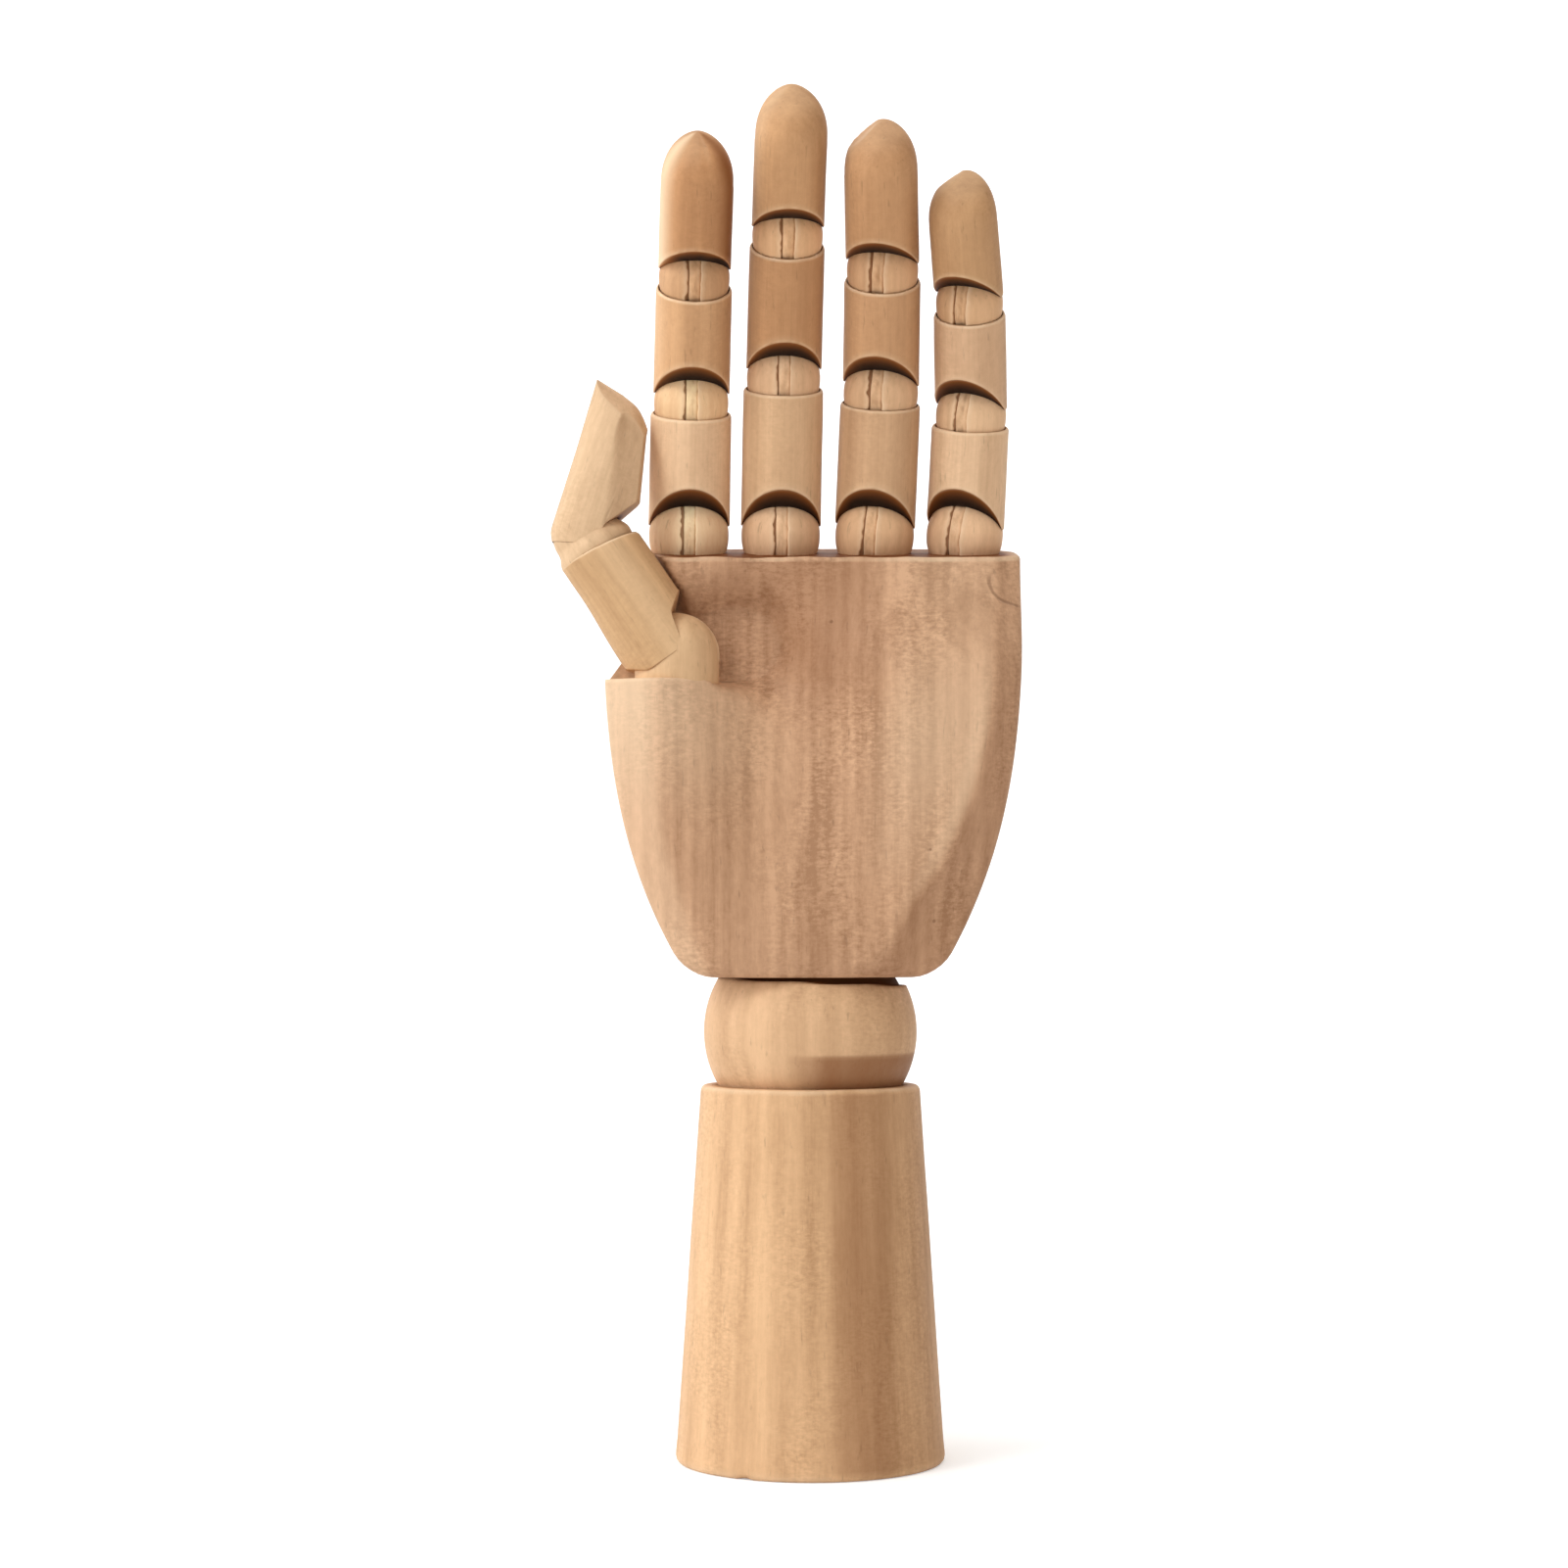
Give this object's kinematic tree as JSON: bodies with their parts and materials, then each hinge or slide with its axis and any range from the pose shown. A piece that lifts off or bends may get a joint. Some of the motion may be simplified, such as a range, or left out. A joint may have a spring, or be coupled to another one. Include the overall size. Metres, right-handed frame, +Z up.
{
  "type": "jointed wooden hand",
  "caption": "Jointed wooden left hand for drawing practice, standing on a tapered round forearm, with hinged and swivelling fingers and thumb and a sprung ball wrist.",
  "frame": {"origin": "centre of the forearm's flat bottom face", "axes": "+Z up along the forearm to the fingers, -Y the way the palm faces, -X towards the thumb"},
  "size_m": [0.0824, 0.0673, 0.2357],
  "materials": {
    "forearm_wood": "sanded bare wood, thin matt varnish",
    "wrist_wood": "sanded bare wood, thin matt varnish",
    "palm_wood": "sanded bare wood, thin matt varnish",
    "finger_wood": "sanded bare wood, thin matt varnish",
    "thumb_wood": "sanded bare wood, thin matt varnish",
    "knuckle_wood": "sanded bare wood, thin matt varnish",
    "tongue_wood": "sanded bare wood, thin matt varnish",
    "steel": "bright drawn wire"
  },
  "bodies": {
    "forearm": {"forearm": "forearm_wood"},
    "wrist_ball": {"wrist_ball": "wrist_wood"},
    "wrist_spring": {"wrist_spring": "steel"},
    "palm": {"palm": "palm_wood"},
    "thumb_base": {"thumb_proximal_knuckle": "knuckle_wood", "thumb_proximal_pin": "steel"},
    "index_base": {"index_proximal_knuckle": "knuckle_wood", "index_proximal_pin": "steel"},
    "index_proximal": {"index_proximal": "finger_wood", "index_proximal_tongue": "tongue_wood", "index_middle_knuckle": "knuckle_wood", "index_middle_pin": "steel"},
    "index_middle": {"index_middle": "finger_wood", "index_middle_tongue": "tongue_wood", "index_distal_knuckle": "knuckle_wood", "index_distal_pin": "steel"},
    "index_distal": {"index_distal": "finger_wood", "index_distal_tongue": "tongue_wood"},
    "middle_base": {"middle_proximal_knuckle": "knuckle_wood", "middle_proximal_pin": "steel"},
    "middle_proximal": {"middle_proximal": "finger_wood", "middle_proximal_tongue": "tongue_wood", "middle_middle_knuckle": "knuckle_wood", "middle_middle_pin": "steel"},
    "middle_middle": {"middle_middle": "finger_wood", "middle_middle_tongue": "tongue_wood", "middle_distal_knuckle": "knuckle_wood", "middle_distal_pin": "steel"},
    "middle_distal": {"middle_distal": "finger_wood", "middle_distal_tongue": "tongue_wood"},
    "ring_base": {"ring_proximal_knuckle": "knuckle_wood", "ring_proximal_pin": "steel"},
    "ring_proximal": {"ring_proximal": "finger_wood", "ring_proximal_tongue": "tongue_wood", "ring_middle_knuckle": "knuckle_wood", "ring_middle_pin": "steel"},
    "ring_middle": {"ring_middle": "finger_wood", "ring_middle_tongue": "tongue_wood", "ring_distal_knuckle": "knuckle_wood", "ring_distal_pin": "steel"},
    "ring_distal": {"ring_distal": "finger_wood", "ring_distal_tongue": "tongue_wood"},
    "little_base": {"little_proximal_knuckle": "knuckle_wood", "little_proximal_pin": "steel"},
    "little_proximal": {"little_proximal": "finger_wood", "little_proximal_tongue": "tongue_wood", "little_middle_knuckle": "knuckle_wood", "little_middle_pin": "steel"},
    "little_middle": {"little_middle": "finger_wood", "little_middle_tongue": "tongue_wood", "little_distal_knuckle": "knuckle_wood", "little_distal_pin": "steel"},
    "little_distal": {"little_distal": "finger_wood", "little_distal_tongue": "tongue_wood"},
    "thumb_proximal": {"thumb_proximal": "thumb_wood", "thumb_proximal_tongue": "tongue_wood", "thumb_distal_knuckle": "knuckle_wood", "thumb_distal_pin": "steel"},
    "thumb_distal": {"thumb_distal": "thumb_wood", "thumb_distal_tongue": "tongue_wood"}
  },
  "joints": [
    {"name": "wrist_tilt", "type": "hinge", "parent": "forearm", "child": "wrist_ball", "pos_m": [0, 0, 0.0765], "axis": [0, 1, 0], "range_deg": [-20, 20], "deforming": ["wrist_spring"]},
    {"name": "wrist_flex", "type": "hinge", "parent": "wrist_ball", "child": "wrist_spring", "pos_m": [0, 0, 0.0765], "axis": [1, 0, 0], "range_deg": [-30, 30], "deforming": ["wrist_spring"]},
    {"name": "wrist_twist", "type": "hinge", "parent": "wrist_spring", "child": "palm", "pos_m": [0, 0, 0.0765], "axis": [0, 0, 1], "range_deg": [-90, 90], "deforming": ["wrist_spring"]},
    {"name": "thumb_swivel", "type": "hinge", "parent": "palm", "child": "thumb_base", "pos_m": [-0.0235, -0.01, 0.1429], "axis": [0, 0, -1], "range_deg": [-65, 3]},
    {"name": "thumb_proximal_hinge", "type": "hinge", "parent": "thumb_base", "child": "thumb_proximal", "pos_m": [-0.0235, -0.01, 0.1429], "axis": [0, 1, 0], "range_deg": [-8, 0.5]},
    {"name": "thumb_distal_hinge", "type": "hinge", "parent": "thumb_proximal", "child": "thumb_distal", "pos_m": [-0.03934, -0.01, 0.16392], "axis": [0, 1, 0], "range_deg": [-45, 1.5]},
    {"name": "index_swivel", "type": "hinge", "parent": "palm", "child": "index_base", "pos_m": [-0.0217, 0, 0.16525], "axis": [-0.0189, 0.1785, -0.9838], "range_deg": [-4, 6]},
    {"name": "index_proximal_hinge", "type": "hinge", "parent": "index_base", "child": "index_proximal", "pos_m": [-0.0217, 0, 0.16525], "axis": [0.9983, 0.0576, -0.0087], "range_deg": [-20, 48]},
    {"name": "index_middle_hinge", "type": "hinge", "parent": "index_proximal", "child": "index_middle", "pos_m": [-0.02104, -0.00813, 0.18761], "axis": [0.9983, 0.0576, -0.0087], "range_deg": [-13, 55]},
    {"name": "index_distal_hinge", "type": "hinge", "parent": "index_middle", "child": "index_distal", "pos_m": [-0.02014, -0.02074, 0.20706], "axis": [0.9983, 0.0576, -0.0087], "range_deg": [-11, 55]},
    {"name": "middle_swivel", "type": "hinge", "parent": "palm", "child": "middle_base", "pos_m": [-0.0053, 0, 0.16525], "axis": [-0.0123, 0.1787, -0.9838], "range_deg": [-4, 4]},
    {"name": "middle_proximal_hinge", "type": "hinge", "parent": "middle_base", "child": "middle_proximal", "pos_m": [-0.0053, 0, 0.16525], "axis": [0.9992, 0.0401, -0.0052], "range_deg": [-20, 48]},
    {"name": "middle_middle_hinge", "type": "hinge", "parent": "middle_proximal", "child": "middle_middle", "pos_m": [-0.00478, -0.0096, 0.19166], "axis": [0.9992, 0.0401, -0.0052], "range_deg": [-13, 55]},
    {"name": "middle_distal_hinge", "type": "hinge", "parent": "middle_middle", "child": "middle_distal", "pos_m": [-0.00409, -0.02386, 0.21363], "axis": [0.9992, 0.0401, -0.0052], "range_deg": [-11, 55]},
    {"name": "ring_swivel", "type": "hinge", "parent": "palm", "child": "ring_base", "pos_m": [0.0115, 0, 0.16525], "axis": [0.0592, -0.1771, 0.9824], "range_deg": [-4, 5]},
    {"name": "ring_proximal_hinge", "type": "hinge", "parent": "ring_base", "child": "ring_proximal", "pos_m": [0.0115, 0, 0.16525], "axis": [0.9866, -0.1392, -0.0846], "range_deg": [-20, 48]},
    {"name": "ring_middle_hinge", "type": "hinge", "parent": "ring_proximal", "child": "ring_middle", "pos_m": [0.01234, -0.00864, 0.18923], "axis": [0.9866, -0.1392, -0.0846], "range_deg": [-13, 55]},
    {"name": "ring_distal_hinge", "type": "hinge", "parent": "ring_middle", "child": "ring_distal", "pos_m": [0.01225, -0.02088, 0.20835], "axis": [0.9866, -0.1392, -0.0846], "range_deg": [-11, 55]},
    {"name": "little_swivel", "type": "hinge", "parent": "palm", "child": "little_base", "pos_m": [0.0276, 0, 0.16525], "axis": [0.0891, -0.1701, 0.9814], "range_deg": [-4, 20]},
    {"name": "little_proximal_hinge", "type": "hinge", "parent": "little_base", "child": "little_proximal", "pos_m": [0.0276, 0, 0.16525], "axis": [0.9409, -0.309, -0.1389], "range_deg": [-20, 48]},
    {"name": "little_middle_hinge", "type": "hinge", "parent": "little_proximal", "child": "little_middle", "pos_m": [0.0283, -0.00696, 0.18548], "axis": [0.9409, -0.309, -0.1389], "range_deg": [-13, 55]},
    {"name": "little_distal_hinge", "type": "hinge", "parent": "little_middle", "child": "little_distal", "pos_m": [0.02739, -0.01774, 0.20325], "axis": [0.9409, -0.309, -0.1389], "range_deg": [-11, 55]}
  ]
}
